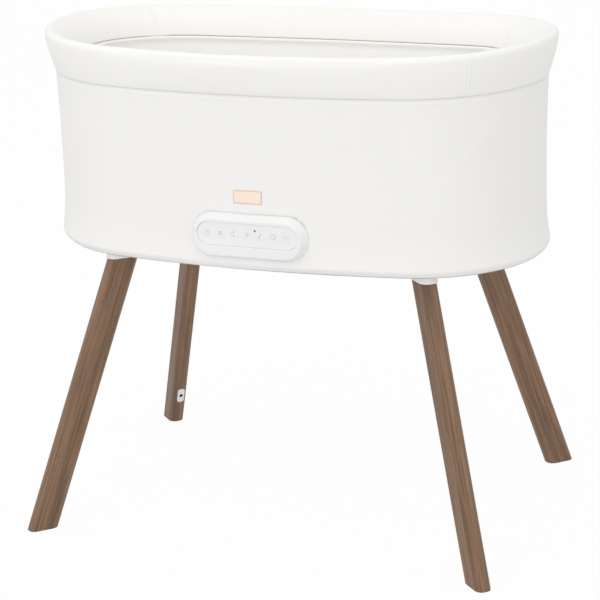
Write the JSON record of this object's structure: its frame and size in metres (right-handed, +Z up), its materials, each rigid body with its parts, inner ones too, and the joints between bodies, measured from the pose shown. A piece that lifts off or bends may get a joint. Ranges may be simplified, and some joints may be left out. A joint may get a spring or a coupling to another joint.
{
  "type": "bassinet on stand",
  "caption": "Oval bassinet with a padded rim and cloth sides on splayed wooden legs, with a motor-swayed bed deck, a lift-out mattress and a key panel.",
  "frame": {"origin": "on the floor under the middle of the four feet", "axes": "+Z up, +X along the body to the right as seen from the key panel, -Y out of the key panel"},
  "size_m": [0.8876, 0.606, 0.841],
  "materials": {
    "white_plastic": "satin white moulding",
    "panel_face": "satin off-white",
    "key_plastic": "satin off-white, flush",
    "dark_plastic": "black",
    "walnut": "oiled walnut, grain along the leg",
    "body_cloth": "fine stretched knit",
    "rim_cloth": "fine padded knit",
    "tag_cloth": "smooth woven tape, bare",
    "bed_cloth": "fine cotton",
    "steel": "zinc plated",
    "motor_metal": "plated can",
    "gear_plastic": "natural acetal",
    "deck_plastic": "moulded grey",
    "bush_brass": "sintered",
    "circuit_board": "green laminate",
    "foot_rubber": "matt"
  },
  "bodies": {
    "stand": {"base_tray": "white_plastic", "panel_bezel": "white_plastic", "inlet_plate": "white_plastic", "leg_collar_front_left": "white_plastic", "leg_collar_front_right": "white_plastic", "leg_collar_rear_left": "white_plastic", "leg_collar_rear_right": "white_plastic", "panel_plate": "panel_face", "panel_lens": "dark_plastic", "inlet_socket": "dark_plastic", "speaker": "dark_plastic", "leg_front_left": "walnut", "leg_front_right": "walnut", "leg_rear_left": "walnut", "leg_rear_right": "walnut", "side_fabric": "body_cloth", "inner_liner": "body_cloth", "rim_pad": "rim_cloth", "side_tag": "tag_cloth", "rim_hoop": "steel", "rim_posts": "steel", "leg_bolts": "steel", "motor_screws": "steel", "board_screws": "steel", "roller_axles": "steel", "roller_brackets": "steel", "pivot_post": "steel", "drive_motor": "motor_metal", "control_board": "circuit_board", "panel_board": "circuit_board", "foot_pads": "foot_rubber"},
    "platform": {"sway_platform": "deck_plastic", "gear_sector": "gear_plastic", "pivot_bush": "bush_brass"},
    "pinion": {"drive_pinion": "gear_plastic"},
    "bed": {"mattress": "bed_cloth"},
    "roller_1": {"support_roller_1": "gear_plastic"},
    "roller_2": {"support_roller_2": "gear_plastic"},
    "roller_3": {"support_roller_3": "gear_plastic"},
    "roller_4": {"support_roller_4": "gear_plastic"},
    "button_1": {"key_1": "key_plastic"},
    "button_2": {"key_2": "key_plastic"},
    "button_3": {"key_3": "key_plastic"},
    "button_4": {"key_4": "key_plastic"},
    "button_5": {"key_5": "key_plastic"},
    "button_6": {"key_6": "key_plastic"},
    "button_7": {"key_7": "key_plastic"}
  },
  "joints": [
    {"name": "bed_sway", "type": "hinge", "parent": "stand", "child": "platform", "pos_m": [0, 0, 0.53], "axis": [0, 0, 1], "range_deg": [-2, 2]},
    {"name": "pinion_spin", "type": "hinge", "parent": "stand", "child": "pinion", "pos_m": [-0.105, 0, 0.54], "axis": [0, 0, 1], "range_deg": [-12.2, 12.2]},
    {"name": "mattress_lift", "type": "slide", "parent": "platform", "child": "bed", "axis": [0, 0, 1], "range_m": [0, 0.35]},
    {"name": "roller_1_spin", "type": "hinge", "parent": "stand", "child": "roller_1", "pos_m": [0.14994, 0.11506, 0.5407], "axis": [0.7934, 0.6088, 0], "range_deg": [-32, 32]},
    {"name": "roller_2_spin", "type": "hinge", "parent": "stand", "child": "roller_2", "pos_m": [-0.14994, 0.11506, 0.5407], "axis": [-0.7934, 0.6088, 0], "range_deg": [-32, 32]},
    {"name": "roller_3_spin", "type": "hinge", "parent": "stand", "child": "roller_3", "pos_m": [-0.14994, -0.11506, 0.5407], "axis": [-0.7934, -0.6088, 0], "range_deg": [-32, 32]},
    {"name": "roller_4_spin", "type": "hinge", "parent": "stand", "child": "roller_4", "pos_m": [0.14994, -0.11506, 0.5407], "axis": [0.7934, -0.6088, 0], "range_deg": [-32, 32]},
    {"name": "button_1_press", "type": "slide", "parent": "stand", "child": "button_1", "axis": [0, 1, 0], "range_m": [0, 0.001], "stiffness_N_per_m": 400, "springref_m": -0.0005},
    {"name": "button_2_press", "type": "slide", "parent": "stand", "child": "button_2", "axis": [0, 1, 0], "range_m": [0, 0.001], "stiffness_N_per_m": 400, "springref_m": -0.0005},
    {"name": "button_3_press", "type": "slide", "parent": "stand", "child": "button_3", "axis": [0, 1, 0], "range_m": [0, 0.001], "stiffness_N_per_m": 400, "springref_m": -0.0005},
    {"name": "button_4_press", "type": "slide", "parent": "stand", "child": "button_4", "axis": [0, 1, 0], "range_m": [0, 0.001], "stiffness_N_per_m": 400, "springref_m": -0.0005},
    {"name": "button_5_press", "type": "slide", "parent": "stand", "child": "button_5", "axis": [0, 1, 0], "range_m": [0, 0.001], "stiffness_N_per_m": 400, "springref_m": -0.0005},
    {"name": "button_6_press", "type": "slide", "parent": "stand", "child": "button_6", "axis": [0, 1, 0], "range_m": [0, 0.001], "stiffness_N_per_m": 400, "springref_m": -0.0005},
    {"name": "button_7_press", "type": "slide", "parent": "stand", "child": "button_7", "axis": [0, 1, 0], "range_m": [0, 0.001], "stiffness_N_per_m": 400, "springref_m": -0.0005}
  ],
  "couplings": [
    {"joint": "pinion_spin", "follows": "bed_sway", "ratio": -6},
    {"joint": "roller_1_spin", "follows": "bed_sway", "ratio": -15.75},
    {"joint": "roller_2_spin", "follows": "bed_sway", "ratio": -15.75},
    {"joint": "roller_3_spin", "follows": "bed_sway", "ratio": -15.75},
    {"joint": "roller_4_spin", "follows": "bed_sway", "ratio": -15.75}
  ]
}
